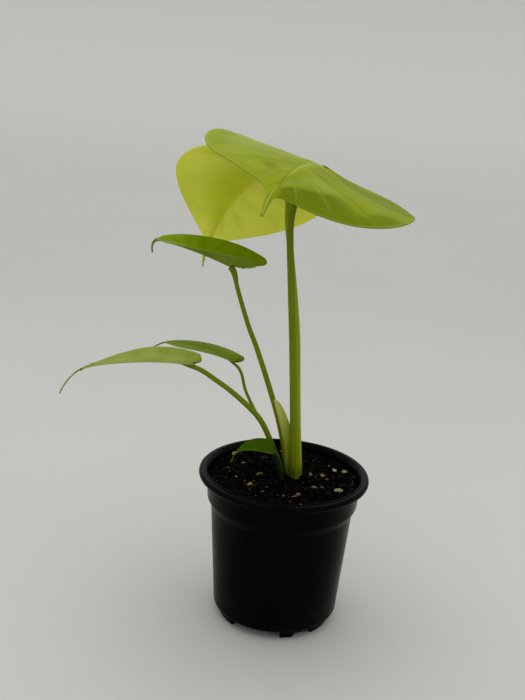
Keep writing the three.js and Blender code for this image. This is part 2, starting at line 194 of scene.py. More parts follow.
def surfaceGrid(columns, rows):
    # a flat grid whose corners remember their place as the UV map "surface"
    bm = bmesh.new()
    bmesh.ops.create_grid(bm, x_segments=columns, y_segments=rows, size=1)
    layer = bm.loops.layers.uv.new("surface")
    for face in bm.faces:
        for loop in face.loops:
            loop[layer].uv = ((loop.vert.co.x + 1) / 2, (loop.vert.co.y + 1) / 2)
    return bm


def gridPlace(vert, columns, rows):
    return round((vert.co.x + 1) / 2 * columns), round((vert.co.y + 1) / 2 * rows)


def closeHoles(bm):
    bmesh.ops.holes_fill(bm, edges=[edge for edge in bm.edges if edge.is_boundary], sides=0)
    bmesh.ops.recalc_face_normals(bm, faces=bm.faces)


class Route:
    # a smooth curve through points in millimetres, measured by its length
    def __init__(self, points, steps=24):
        points = [Vector(p) for p in points]
        ends = [points[0] * 2 - points[1], *points, points[-1] * 2 - points[-2]]
        self.path = []
        for i in range(1, len(ends) - 2):
            for k in range(steps):
                self.path.append(between(*ends[i - 1:i + 3], k / steps))
        self.path.append(points[-1])
        self.lengths = [0.0]
        for a, b in zip(self.path, self.path[1:]):
            self.lengths.append(self.lengths[-1] + (b - a).length)
        self.total = self.lengths[-1]

    def at(self, t):
        wanted = clamp(t) * self.total
        i = 1
        while i < len(self.lengths) - 1 and self.lengths[i] < wanted:
            i += 1
        share = (wanted - self.lengths[i - 1]) / max(self.lengths[i] - self.lengths[i - 1], 1e-9)
        return self.path[i - 1].lerp(self.path[i], share)

    def frames(self, steps):
        # points along the route, each with two sideways directions that turn as little as they can
        side = Vector((1, 0, 0))
        rows = []
        for k in range(steps + 1):
            t = k / steps
            ahead = (self.at(t + 0.01) - self.at(t - 0.01)).normalized()
            side = (side - ahead * side.dot(ahead)).normalized()
            rows.append((self.at(t), side.copy(), ahead.cross(side)))
        return rows


# blades: a half outline of (along, out) shares that is folded, curled, bent and rolled
halfOutline = [(-0.07, 0.07), (-0.18, 0.2), (-0.25, 0.42), (-0.21, 0.68), (-0.06, 0.9), (0.15, 1),
               (0.38, 0.95), (0.61, 0.72), (0.8, 0.4), (0.93, 0.13)]
tipNeck, tipMiddle, tipEnd = 0.045, 0.025, 0.008  # half widths of the drip tip, as shares
basalShare = 0.24  # share of the margin that belongs to the sinus
marginWaves = 1.5
veinCount = 11.0
veinBend = 1.15
lobeReach = -0.5  # how far behind the stalk the midline is worked out
midlineSteps = 160
hookFrom, hookLead = 0.93, 0.07  # where the tip starts to hang
leastCurl = 1e-4

leaves = {
    "front": {
        "attach": (9.6, -6, 292.6), "length": 104.9, "width": 126.7, "heading": -16.4,
        "pitch": 13.3, "roll": -7.9, "bend": 27.9, "bendPower": 1, "hook": 25.8, "lobeLift": -8.2,
        "twist": -9.9, "lobe": 1.35, "drip": 0.16, "fullness": 0.93,
        "left": {"fold": 3.8, "curl": -3.2, "curlGain": -32, "wave": 2.7, "phase": 0.77},
        "right": {"fold": -26.1, "foldGain": -1.3, "curl": 20.3, "curlGain": 2.3,
                  "wave": -2.6, "phase": 0.18},
        "columns": 120, "rows": 150, "thick": 0.6, "rib": 2.0, "pillow": 0.4, "groove": 0.3,
        "swells": [(-1.0, 0.43, 0.35, 0.09, 2.3), (0.5, 0.62, 0.3, 0.12, 1.6), (0.5, 0.5, 0.4, 0.035, 0.7),
                   (-0.45, 0.68, 0.22, 0.03, -0.7), (-0.5, 0.62, 0.3, 0.025, 0.4),
                   (-0.55, 0.4, 0.3, 0.03, 0.4)],
    },
    "golden": {
        "attach": (-22, 10, 284.9), "length": 102.7, "width": 95, "heading": -150.8,
        "pitch": -23.6, "roll": 21.7, "bend": 27.3, "bendPower": 1, "hook": 33.4, "lobeLift": -7.4,
        "twist": 10.1, "lobe": 0.89, "drip": 0.15, "fullness": 1.16,
        "left": {"fold": -9.4, "curl": 15.8}, "right": {"fold": 2.5, "curl": -6.2},
        "columns": 110, "rows": 140, "thick": 0.55, "rib": 1.3, "pillow": 0.25, "groove": 0.2,
        "swells": [],
    },
    "mid": {
        "attach": (-41.1, -2, 230.3), "length": 56.9, "width": 37.8, "heading": -119.6,
        "pitch": 13.5, "roll": -13.4, "bend": 12.6, "bendPower": 1, "hook": 117, "lobeLift": -8.2,
        "twist": 3.2, "lobe": 1.42, "drip": 0.16, "fullness": 0.6,
        "left": {"fold": 30.6, "foldGain": -15, "curl": -36},
        "right": {"fold": 71.2, "foldGain": -40.3, "curl": -48.9},
        "columns": 70, "rows": 100, "thick": 0.5, "rib": 1.3, "pillow": 0.2, "groove": 0.3,
        "swells": [(-1.0, 0.09, 0.5, 0.06, 1.8)],
    },
    "low": {
        "attach": (-60.6, -17.9, 172.5), "length": 75.3, "width": 31.1, "heading": -93.4,
        "pitch": 7, "roll": 27.8, "bend": 44.6, "bendPower": 1.56, "hook": 32, "lobeLift": -37.5,
        "twist": -35.9, "lobe": 0.22, "drip": 0.21, "fullness": 1.6,
        "left": {"fold": 21.8, "foldGain": -43.9, "curl": 33.6, "lobe": 1.2},
        "right": {"fold": -16, "foldGain": 8.2, "curl": 7.9, "lobe": 0.6},
        "columns": 60, "rows": 110, "thick": 0.5, "rib": 1.3, "pillow": 0.15, "groove": 0.4,
        "swells": [],
    },
    "back": {
        "attach": (-36.4, 12, 165.2), "length": 47.8, "width": 28.7, "heading": -103.1,
        "pitch": 25.7, "roll": -6, "bend": 34.7, "bendPower": 1, "hook": 42.2, "lobeLift": -52,
        "twist": 10.4, "lobe": 0.31, "drip": 0.22, "fullness": 0.85,
        "left": {"fold": 11.3, "foldGain": -8, "curl": -28.6, "lobe": 1.3},
        "right": {"fold": 24.9, "foldGain": -39.3, "curl": 5.5, "lobe": 0.6},
        "columns": 56, "rows": 90, "thick": 0.45, "rib": 1.0, "pillow": 0.12, "groove": 0.3,
        "swells": [],
    },
    "soil": {
        "attach": (-8.4, -8, 116.4), "length": 26.3, "width": 11.8, "heading": -79,
        "pitch": 14.5, "roll": 17.3, "bend": 71.3, "bendPower": 2, "hook": 18.7, "lobeLift": -59,
        "twist": 5.6, "lobe": 0, "drip": 0.2, "fullness": 1.2,
        "left": {"fold": 48.5, "curl": 37}, "right": {"fold": -20.5, "curl": -13.3},
        "columns": 40, "rows": 60, "thick": 0.45, "rib": 0.8, "pillow": 0.08, "groove": 0.2,
        "swells": [],
    },
}


class Blade:
    # where any point of a leaf's surface lies, in millimetres
    def __init__(self, leaf):
        self.leaf = leaf
        edge = [(along * leaf["lobe"] if along < 0 else along,
                 out ** leaf["fullness"] if along > 0.3 else out) for along, out in halfOutline]
        edge += [(1, tipNeck), (1 + leaf["drip"] / 2, tipMiddle), (1 + leaf["drip"], tipEnd)]
        self.edge = [Vector(p) for p in edge]
        self.step = (1 + leaf["drip"] - lobeReach) / midlineSteps
        self.midline = [(0.0, 0.0)]
        for i in range(midlineSteps):
            before, after = (lobeReach + k * self.step for k in (i, i + 1))
            slope = (self.slope(before) + self.slope(after)) / 2
            reach, rise = self.midline[-1]
            self.midline.append((reach + math.cos(slope) * self.step * leaf["length"],
                                 rise + math.sin(slope) * self.step * leaf["length"]))
        self.zero = self.midlineAt(0)
        turn = math.radians(leaf["heading"])
        self.ahead = Vector((math.sin(turn), -math.cos(turn), 0))
        self.sideways = Vector((math.cos(turn), math.sin(turn), 0))

    def slope(self, s):
        leaf = self.leaf
        if s < 0:
            return math.radians(leaf["pitch"] + leaf["lobeLift"] * min(-s / 0.25, 2))
        hooked = clamp((s - hookFrom) / (leaf["drip"] + hookLead))
        return math.radians(leaf["pitch"] - leaf["bend"] * min(s, 1) ** leaf["bendPower"]
                            - leaf["hook"] * hooked)

    def midlineAt(self, s):
        place = clamp((s - lobeReach) / self.step, 0, midlineSteps - 1e-6)
        i = int(place)
        a, b = self.midline[i], self.midline[i + 1]
        return lerp(a[0], b[0], place - i), lerp(a[1], b[1], place - i)

    def margin(self, v):
        last = len(self.edge) - 1
        place = clamp(v) * last
        i = min(int(place), last - 1)
        return between(*(self.edge[clamp(k, 0, last)] for k in (i - 1, i, i + 1, i + 2)), place - i)

    def veinFoot(self, v):
        # where on the midline the side vein that ends at this place on the margin starts
        climb = max(0.0, (v - basalShare) / (1 - basalShare)) ** veinBend * (1 + self.leaf["drip"])
        return min(climb, max(self.margin(v).x, 0))

    def point(self, across, v):
        leaf = self.leaf
        half, side = (leaf["left"], -1) if across < 0 else (leaf["right"], 1)
        across = abs(across)
        edge = self.margin(v)
        reach = edge.x * half.get("lobe", 1) if edge.x < 0 else edge.x
        along = lerp(self.veinFoot(v), reach, across)
        spread = edge.y * across
        fold = math.radians(half["fold"] + half.get("foldGain", 0) * along)
        curl = math.radians(half["curl"] + half.get("curlGain", 0) * along)
        curl = leastCurl if abs(curl) < leastCurl else curl
        width = leaf["width"] / 2
        out = width * (math.sin(fold + curl * spread) - math.sin(fold)) / curl
        rise = width * (math.cos(fold) - math.cos(fold + curl * spread)) / curl
        wave = math.sin(2 * math.pi * (marginWaves * v + half.get("phase", 0)))
        rise += half.get("wave", 0) * wave * spread * across
        forward, climb = self.midlineAt(along)
        slope = self.slope(along)
        normal = Vector((0, 0, 1)) * math.cos(slope) - self.ahead * math.sin(slope)
        roll = math.radians(leaf["roll"] + leaf["twist"] * along)
        rolledSide = self.sideways * math.cos(roll) + normal * math.sin(roll)
        rolledUp = normal * math.cos(roll) - self.sideways * math.sin(roll)
        return (Vector(leaf["attach"]) + self.ahead * (forward - self.zero[0])
                + Vector((0, 0, climb - self.zero[1])) + rolledSide * side * out + rolledUp * rise)


# ribs and pillows; widths are shares of the half blade
ribs = {"midWidth": 0.035, "grooveWidth": 0.03, "midRise": 0.08, "midThinning": 0.75, "sideHeight": 0.25,
        "pillowPower": 4}


def veinNearness(v):
    # 1 on a side vein, 0 halfway between two
    return abs((v * veinCount) % 1 - 0.5) * 2


def midribStart(v):
    return smooth(basalShare, basalShare + ribs["midRise"], v)


def relief(leaf, across, v):
    # how far the surface lies off the smooth blade: pillows between veins, a grooved midrib, swells
    away = abs(across)
    body = smooth(0.0, 0.12, away) * (1 - smooth(0.8, 1.0, away)) * (1 - smooth(0.8, 0.97, v))
    lift = leaf["pillow"] * (1 - veinNearness(v) ** ribs["pillowPower"]) * body
    lift -= leaf["groove"] * hump(away, 0, ribs["grooveWidth"]) * midribStart(v)
    for acrossAt, vAt, acrossWide, vWide, height in leaf["swells"]:
        lift += height * hump(across, acrossAt, acrossWide) * hump(v, vAt, vWide)
    return lift


def ribShare(across, v):
    # how much of the rib's full thickness the blade has here
    away = abs(across)
    thinning = 1 - ribs["midThinning"] * smooth(0.3, 0.95, v)
    midrib = hump(away, 0, ribs["midWidth"]) * midribStart(v) * thinning
    sideVein = ribs["sideHeight"] * smooth(0.9, 1.0, veinNearness(v)) * (1 - smooth(0.2, 0.85, away))
    return max(midrib, sideVein * (1 - smooth(0.7, 0.95, v)))


def makeBlade(name, leaf, upper, under):
    blade = Blade(leaf)
    columns, rows = leaf["columns"], leaf["rows"]
    bm = surfaceGrid(columns, rows)
    weights = bm.verts.layers.deform.verify()
    cells = {vert: gridPlace(vert, columns, rows) for vert in bm.verts}
    places = {(i, j): blade.point(2 * i / columns - 1, j / rows) for i, j in cells.values()}
    for vert, (i, j) in cells.items():
        across, v = 2 * i / columns - 1, j / rows
        aside = places[min(i + 1, columns), j] - places[max(i - 1, 0), j]
        ahead = places[i, min(j + 1, rows)] - places[i, max(j - 1, 0)]
        normal = ahead.cross(aside)
        normal = normal.normalized() if normal.length > 1e-9 else Vector((0, 0, 1))
        vert.co = (places[i, j] + normal * relief(leaf, across, v)) * mm
        vert[weights][0] = ribShare(across, v)
    bmesh.ops.remove_doubles(bm, verts=bm.verts, dist=1e-6)
    bmesh.ops.reverse_faces(bm, faces=bm.faces)
    piece = keep(bm, f"blade{name.capitalize()}", [upper, under])
    piece.vertex_groups.new(name="ribs")
    thickness = piece.modifiers.new("thickness", "SOLIDIFY")
    thickness.thickness = leaf["rib"] * mm
    thickness.offset = -1
    thickness.vertex_group = "ribs"
    thickness.thickness_vertex_group = leaf["thick"] / leaf["rib"]
    thickness.material_offset = 1
    thickness.material_offset_rim = 1
    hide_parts(f"leaf_{name}")


# colours of a leaf's upper face, its darker tone, which also paints the shade zones, veins, under face and
# the light it lets through
whole = (-0.2, -0.1, 1.1, 1.2)  # all of the blade, from side to side or from foot to tip
toEdge = (1.1, 1.2)  # the end of a zone that runs on to the margin or the tip
fromFoot = (-0.2, -0.1)
young = {"through": (0.4, 0.5, 0.004), "share": 0.2, "glow": 0.3, "veins": 0.2}

# a zone is (from, full, fading, gone) across the blade, the same from foot to tip, then its share; the darker
# zones are painted shade and the pale zones painted highlights
leafLooks = {
    "front": {
        "blade": (0.32, 0.385, 0.012), "deepAndShade": (0.185, 0.235, 0.0), "vein": (0.46, 0.53, 0.12),
        "under": (0.32, 0.40, 0.03), "through": (0.46, 0.54, 0.002), "share": 0.26, "glow": 0.3,
        "rough": 0.34, "veins": 0.28,
        # painted shade where the blade droops away from the light, partly the leaf's own deeper green
        "paintedZones": [(0.73, 0.78, *toEdge, 0.53, 0.60, 0.78, 0.86, 1.0),
                  (0.86, 0.93, *toEdge, 0.43, 0.50, 0.60, 0.66, 0.95),
                  (0.20, 0.26, 0.30, 0.38, 0.61, 0.65, 0.68, 0.73, 0.7),
                  (0.30, 0.42, 0.49, 0.50, 0.46, 0.54, 0.62, 0.70, 0.4),
                  (0.52, 0.64, *toEdge, 0.16, 0.28, 0.38, 0.44, 0.75)],
        # painted highlights along the upper half
        "paintedHighlight": [(0.05, 0.16, 0.40, 0.50, 0.36, 0.42, 0.50, 0.58, 0.8),
                 (0.58, 0.65, 0.70, 0.76, 0.50, 0.58, 0.74, 0.84, 0.4)],
    },
    "golden": {
        "blade": (0.42, 0.46, 0.05), "deepAndShade": (0.30, 0.35, 0.003), "vein": (0.82, 0.82, 0.24),
        "under": (0.84, 0.84, 0.26), "through": (0.86, 0.90, 0.03), "share": 0.45, "glow": -0.12,
        "rough": 0.45, "veins": 0.12,
        # painted shade on the half beyond the crease
        "paintedZones": [(0.50, 0.503, 0.58, 0.98, 0.28, 0.48, *toEdge, 1.0)], "paintedHighlight": [],
    },
    "mid": {
        "blade": (0.27, 0.38, 0.001), "deepAndShade": (0.11, 0.20, 0.0), "vein": (0.28, 0.38, 0.03),
        "under": (0.31, 0.41, 0.07), "through": (0.3, 0.46, 0.004), "share": 0.2, "glow": 0.3,
        "rough": 0.3, "veins": 0.3,
        # painted shade where the blade curves down and away
        "paintedZones": [(0.50, 0.56, *toEdge, 0.10, 0.16, 0.26, 0.34, 0.5)], "paintedHighlight": [],
    },
    "low": {
        **young, "blade": (0.28, 0.36, 0.02), "deepAndShade": (0.17, 0.23, 0.0), "vein": (0.45, 0.51, 0.18),
        "under": (0.24, 0.32, 0.03), "rough": 0.32,
        # painted shade near the foot and a painted highlight band
        "paintedZones": [(*whole, *fromFoot, 0.14, 0.26, 0.7)], "paintedHighlight": [(*whole, 0.2, 0.34, 0.66, 0.85, 0.55)],
    },
    "back": {
        **young, "blade": (0.19, 0.28, 0.008), "deepAndShade": (0.10, 0.17, 0.0), "vein": (0.26, 0.34, 0.05),
        "under": (0.22, 0.30, 0.03), "rough": 0.34,
        # painted shade near the foot and a painted highlight band
        "paintedZones": [(*whole, *fromFoot, 0.26, 0.38, 0.8)], "paintedHighlight": [(*whole, 0.3, 0.4, 0.6, 0.85, 0.5)],
    },
    "soil": {
        **young, "blade": (0.06, 0.13, 0.001), "deepAndShade": (0.035, 0.08, 0.0), "vein": (0.22, 0.29, 0.01),
        "under": (0.16, 0.24, 0.005), "rough": 0.28, "paintedZones": [], "paintedHighlight": [],
    },
}
# what all leaves share: pattern scales, bump, reflection, and the under face's own differences
leafSkin = {"cloud": 45, "fine": 900, "mottle": 1500, "depth": 0.0002, "strength": 0.45,
            "shine": {"IOR": 1.1, "Specular IOR Level": 0.4}, "underShade": (0.60, 0.65, 0.15),
            "underRough": 0.12}


def zoneShare(u, v, paintedZones, cloud):
    # a zone's share inside it, 0 outside all of them
    share = u * 0
    for left, leftFull, rightFull, right, low, lowFull, highFull, high, amount in paintedZones:
        zone = u.steps(left, leftFull) * u.steps(right, rightFull)
        zone = zone * v.steps(low, lowFull) * v.steps(high, highFull)
        share = share.most(zone * (cloud.steps(0.2, 0.8) * 0.2 + 0.8) * amount)
    return share


def leafFinish(name, look, underside):
    f = Finish(f"{name}Leaf{'Under' if underside else 'Upper'}")
    ground, shade, veinLift, moreRough = look["blade"], look["deepAndShade"], -0.4, 0
    if underside:
        ground, veinLift, moreRough = look["under"], 0.4, leafSkin["underRough"]
        shade = tuple(c * d for c, d in zip(ground, leafSkin["underShade"]))
    u, v = f.uv()
    away = ((u - 0.5) * 2).abs()
    nearVein = ((v * veinCount).fract() - 0.5).abs() * 2
    fade = away.steps(1.0, 0.6) * v.steps(0.99, 0.85)
    sideVein = nearVein.steps(0.88, 0.99) * fade
    midVein = away.steps(0.035, 0.01) * v.steps(basalShare, basalShare + 0.05)
    cloud = f.noise(leafSkin["cloud"], 4, 0.6)
    fine = f.noise(leafSkin["fine"], 3, 0.6)
    deepAndShade = cloud.steps(0.35, 0.7) * 0.35 + nearVein.steps(0.4, 0.85) * fade * 0.2
    # the zones add painted shade to the leaf's own darker mottle
    deepAndShade = deepAndShade.most(zoneShare(u, v, look["paintedZones"], cloud))
    # the pale zones are painted highlights, mixed towards the vein colour
    color = f.mix(zoneShare(u, v, look["paintedHighlight"], fine * 0.5 + cloud * 0.5), ground, look["vein"])
    color = f.mix(deepAndShade.least(1.0), color, shade)
    color = f.mix(fine.steps(0.3, 0.7) * 0.12, color, look["vein"])
    color = f.mix((sideVein * look["veins"]).most(midVein * 0.55), color, look["vein"])
    color = f.mix(away.steps(0.965, 0.99) * 0.35, color, look["vein"])  # the pale margin
    height = fine * 0.4 + f.cells(leafSkin["mottle"]) * 0.25 + sideVein * veinLift
    normal = f.bumped(height, leafSkin["depth"], leafSkin["strength"])
    rough = fine.steps(0.25, 0.75, look["rough"] - 0.04, look["rough"] + 0.08) + moreRough
    face = f.solid(color, rough, normal, leafSkin["shine"])
    through = f.node("ShaderNodeBsdfTranslucent", None, {"Color": (*look["through"], 1), "Normal": normal})
    share = (1 - sideVein.most(midVein) * 0.1) * look["share"] * (1 + deepAndShade * look["glow"])
    return f.end(f.node("ShaderNodeMixShader", None, {0: share, 1: face, 2: through}))


# stalks; the foot's colour fades in from footFrom down to footFull, heights in metres
stalkLooks = {
    "stalkGreen": {"dark": (0.13, 0.18, 0.001), "light": (0.26, 0.32, 0.006), "foot": (0.22, 0.25, 0.01),
                   "footFrom": 0.101, "footFull": 0.094},
    "stalkGolden": {"dark": (0.26, 0.30, 0.006), "light": (0.42, 0.45, 0.03), "foot": (0.24, 0.27, 0.01),
                    "footFrom": 0.101, "footFull": 0.094},
    "stalkYoung": {"dark": (0.12, 0.18, 0.002), "light": (0.24, 0.32, 0.012), "foot": (0.005, 0.028, 0.008),
                   "footFrom": 0.130, "footFull": 0.106},
    "sheathPale": {"dark": (0.36, 0.42, 0.08), "light": (0.56, 0.59, 0.20), "foot": (0.22, 0.27, 0.01),
                   "footFrom": 0.142, "footFull": 0.112},
    "crownFlesh": {"dark": (0.40, 0.38, 0.22), "light": (0.5, 0.48, 0.3), "foot": (0.3, 0.24, 0.12),
                   "footFrom": 0.101, "footFull": 0.094},
}
stalkSkin = {"streak": 3, "fringe": 7, "speck": 700, "depth": 0.0003, "strength": 0.5,
             "shine": {"IOR": 1.4, "Specular IOR Level": 0.25},
             "gaps": (0.004, 0.005, 0.002), "gapsFrom": 0.105, "gapsFull": 0.096}
fullTurn, quarterTurn = 6.2832, 1.5708


def stalkFinish(name):
    look = stalkLooks[name]
    f = Finish(name)
    u, v = f.uv()
    sine, cosine = (u * fullTurn).sin(), (u * fullTurn + quarterTurn).sin()
    streak = f.noise(stalkSkin["streak"], 4, 0.6, f.joined(sine * 2, cosine * 2, v * 1.5))
    fringe = f.noise(stalkSkin["fringe"], 2, 0.5, f.joined(sine * 2, cosine * 2, v * 0.6))
    speck = f.noise(stalkSkin["speck"], 2, 0.5)
    z = f.part(f.coords(), "Z")
    foot = z.steps(look["footFrom"], look["footFull"]) * (streak.steps(0.25, 0.6) * 0.5 + 0.45)
    gaps = z.steps(stalkSkin["gapsFrom"], stalkSkin["gapsFull"]) * fringe.steps(0.48, 0.56)
    color = f.mix(streak.steps(0.3, 0.7) * 0.5 + sine * 0.2 + 0.2, look["dark"], look["light"])
    color = f.mix(speck.steps(0.45, 0.75) * 0.15, color, look["light"])
    color = f.mix(foot, color, look["foot"])
    color = f.mix(gaps, color, stalkSkin["gaps"])  # dark gaps between the fibres at the foot
    normal = f.bumped(streak * 0.7 + speck * 0.3, stalkSkin["depth"], stalkSkin["strength"])
    return f.end(f.solid(color, streak.steps(0.2, 0.8, 0.36, 0.5), normal, stalkSkin["shine"]))


# radius is that of the foot, the middle and the top; joint widens the top, taper thins its very end
stalks = {
    "front": {
        "points": [(7, 3, 87), (6.7, 3, 93), (4, 1.4, 126.4), (-0.4, -1.2, 179.7), (-4.2, -3.2, 217.8),
                   (-7.4, -4.9, 250.8), (-7, -5.7, 265.2), (-3.6, -6, 277), (3.4, -6, 286), (8, -6, 290)],
        "radius": (3.5, 2.35, 1.9), "joint": -0.3, "taper": 0.6, "finish": "stalkGreen",
    },
    "golden": {
        "points": [(9.5, 8.0, 87), (9.2, 7.9, 93), (4.6, 8.4, 148), (1.1, 9, 189.6), (-5.1, 9.4, 232.1),
                   (-9.1, 9.7, 255.6), (-9.9, 9.2, 268), (-12.6, 8, 276.5), (-18, 7.6, 280.4),
                   (-22.4, 8.8, 283.4)],
        "radius": (2.9, 2.2, 1.7), "joint": 0.1, "taper": 0.6, "finish": "stalkGolden",
    },
    "mid": {
        "points": [(2.3, 7, 87), (2.1, 7, 96.3), (-3.7, 5.3, 122.9), (-10.7, 3.8, 145.8), (-22.1, 1.7, 177.2),
                   (-28.5, 0.6, 192.5), (-36.2, -0.9, 215), (-38.9, -1.8, 225.2), (-41.2, -2, 229.0)],
        "radius": (2.1, 1.7, 1.3), "joint": 0.5, "taper": 0.0, "finish": "stalkGreen",
    },
    "low": {
        "points": [(-1.6, 3, 87), (-2, 3, 97), (-8.9, -1.2, 116.3), (-18.3, -6.9, 136), (-34.2, -11.9, 152.5),
                   (-47.6, -15.3, 163), (-54.6, -17.2, 168.0), (-60.4, -18.2, 170.5), (-68, -18.0, 171.7)],
        "radius": (2.3, 1.75, 1.45), "joint": 0.15, "taper": 0.8, "finish": "stalkYoung",
    },
    "back": {
        "points": [(-2.9, 7.2, 87), (-2.9, 7.2, 99), (-12.1, 8.5, 119.6), (-21.8, 9.8, 135.4),
                   (-28, 10.8, 147.4), (-30.9, 11.5, 157.2), (-34.0, 11.9, 162.2), (-38.8, 12.1, 165.1)],
        "radius": (1.3, 1.05, 0.95), "joint": 0.2, "taper": 0.75, "finish": "stalkYoung",
    },
    "soil": {
        "points": [(-1.6, -1.6, 87), (-1.2, -2.2, 96), (-3.9, -4.9, 107.9), (-6.3, -6.7, 113),
                   (-8.7, -7.7, 115.4)],
        "radius": (2.1, 1.5, 1.0), "joint": 0.3, "taper": 0.6, "finish": "stalkYoung",
    },
}
stalkTube = {"sides": 20, "steps": 110, "channel": 0.05, "channelWidth": 0.4}


def stalkRadius(stalk, t, angle):
    foot, middle, top = stalk["radius"]
    size = lerp(lerp(foot, middle, smooth(0, 0.25, t)), top, smooth(0.4, 1, t))
    size *= 1 + stalk["joint"] * smooth(0.92, 0.99, t)
    size *= 1 - stalk["taper"] * smooth(0.93, 1.0, t)
    return size * (1 - stalkTube["channel"] * hump(math.sin(angle), 1, stalkTube["channelWidth"]))


def makeStalk(name, stalk, finish):
    # a grid that is rolled up round the stalk's route
    sides, steps = stalkTube["sides"], stalkTube["steps"]
    bm = surfaceGrid(sides, steps)
    rows = Route(stalk["points"]).frames(steps)
    for vert in bm.verts:
        angle = (vert.co.x + 1) * math.pi
        k = gridPlace(vert, sides, steps)[1]
        centre, side, other = rows[k]
        size = stalkRadius(stalk, k / steps, angle)
        vert.co = (centre + side * size * math.cos(angle) + other * size * math.sin(angle)) * mm
    bmesh.ops.remove_doubles(bm, verts=bm.verts, dist=1e-7)
    closeHoles(bm)
    piece = keep(bm, f"stalk{name.capitalize()}", [finish])
    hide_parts(f"stalk_{name}")


fleshFinishes = {name: stalkFinish(name) for name in stalkLooks}
for name, leaf in leaves.items():
    makeBlade(name, leaf, leafFinish(name, leafLooks[name], False), leafFinish(name, leafLooks[name], True))
    makeStalk(name, stalks[name], fleshFinishes[stalks[name]["finish"]])
print("leaves and stalks made")

# the pale pointed sheath beside the middle leaf's stalk, an open sheet that curls round it
sheath = {
    "edge": [(1.2, 5.0, 88), (0.9, 4.6, 97), (-1.3, 3.7, 112), (-4.2, 3.0, 126), (-7.6, 2.4, 138),
             (-9.9, 2.2, 145.5)],
    "foot": 3.5, "width": 6.8, "tip": 0.15, "thick": 0.5, "curl": 1.5, "fullness": 4,
    "columns": 24, "rows": 60,
}


def makeSheath():
    columns, steps = sheath["columns"], sheath["rows"]
    bm = surfaceGrid(columns, steps)
    rows = Route(sheath["edge"]).frames(steps)
    for vert in bm.verts:
        across, k = (vert.co.x + 1) / 2, gridPlace(vert, columns, steps)[1]
        t = k / steps
        centre, side, other = rows[k]
        width = lerp(sheath["foot"], sheath["width"], smooth(0, 0.55, t))
        width = width * math.sqrt(1 - t ** sheath["fullness"]) + sheath["tip"]
        bow = sheath["curl"] * math.sin(math.pi * across) * (1 - t)
        vert.co = (centre + side * width * across + other * -bow) * mm
    bmesh.ops.reverse_faces(bm, faces=bm.faces)
    piece = keep(bm, "sheathMid", [fleshFinishes["sheathPale"]])
    thickness = piece.modifiers.new("thickness", "SOLIDIFY")
    thickness.thickness = sheath["thick"] * mm
    thickness.offset = 0


makeSheath()

# the crown in the soil keeps its solid
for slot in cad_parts["crown"].material_slots:
    slot.material = fleshFinishes["crownFlesh"]
print("sheath made, crown finished")

# the pot, turned from its profile; an arch is (middle in degrees from the front, width, height)
pot = {
    "height": 99.5, "rim": 54, "ridge": 50, "lip": 47.5, "wall": 1.3,
    "collar": 48.6, "collarTop": 94.6, "collarFoot": 80.5, "step": 45.3, "stepFoot": 76,
    "base": 40.3, "baseHeight": 9, "foot": 36.2, "floorUnder": 2.6, "floorTop": 4.2, "pad": 8,
    "arches": [(-20, 34, 5.4), (30, 13, 3.0)], "archTurns": 3, "archEnd": 1.5,
    "ringWidth": 2.7, "ringTop": 5.5, "turns": 192,
}
potSkin = {"grain": 2600, "cloud": 38, "drag": 14, "dragStretch": (1, 1, 9), "dust": 420,
           "depth": 0.00012, "strength": 0.35, "shine": {"IOR": 1.145},
           "black": (0.0012, 0.0012, 0.0014), "worn": (0.0025, 0.0025, 0.003), "dirt": (0.10, 0.09, 0.08)}


def potProfile():
    # half of the pot's section as (radius, height), from the middle of its underside to its floor's
    radii = ("pad", "foot", "base", "step", "collar", "rim", "ridge", "lip", "wall")
    pad, foot, base, step, collar, rim, ridge, lip, wall = (pot[key] for key in radii)
    heights = ("floorUnder", "floorTop", "baseHeight", "stepFoot", "collarFoot", "collarTop", "height")
    under, floorTop, baseHeight, stepFoot, collarFoot, collarTop, top = (pot[key] for key in heights)
    underside = [(0, 0), (pad - 0.3, 0), (pad, 0.3), (pad + 1.5, under), (foot - 3.4, under),
                 (foot - 2.6, under - 0.5), (foot - 2.1, 0.3), (foot - 1.8, 0), (foot - 0.3, 0)]
    footRing = [(foot, 0.3), (foot + 0.2, 2), (foot + 0.5, 4), (foot + 1.2, 4.8), (base - 1.6, 5.6),
                (base - 0.6, 6.4), (base - 0.1, 7.6)]
    outside = [(base, baseHeight), (base + 1.2, 26), (base + 2.6, 44), (base + 3.8, 60),
               (step - 0.15, stepFoot - 1.2), (step + 0.15, stepFoot + 0.2),
               (collar - 1.0, collarFoot - 0.4), (collar - 0.7, collarFoot + 0.8),
               (collar - 0.2, collarTop - 1.2), (collar + 0.1, collarTop - 0.4), (collar + 0.6, collarTop)]
    flange = [(rim - 1.3, collarTop + 0.25), (rim - 0.5, collarTop + 0.7), (rim - 0.05, collarTop + 1.6),
              (rim, top - 2.6), (rim - 0.3, top - 1.5), (rim - 1.1, top - 0.7), (rim - 1.9, top - 0.5),
              (ridge + 1.0, top - 0.9), (ridge + 0.5, top - 0.7), (ridge + 0.25, top - 0.1), (ridge, top),
              (ridge - 0.35, top - 0.1), (ridge - 1.0, top - 0.9), (lip + 0.5, top - 1.9), (lip, top - 2.9)]
    inside = [(collar - wall, collarTop), (collar - 0.8 - wall, collarFoot + 0.7),
              (step - wall, stepFoot + 0.8), (base - wall, baseHeight + 0.6), (foot, floorTop), (0, floorTop)]
    return underside + footRing + outside + flange + inside


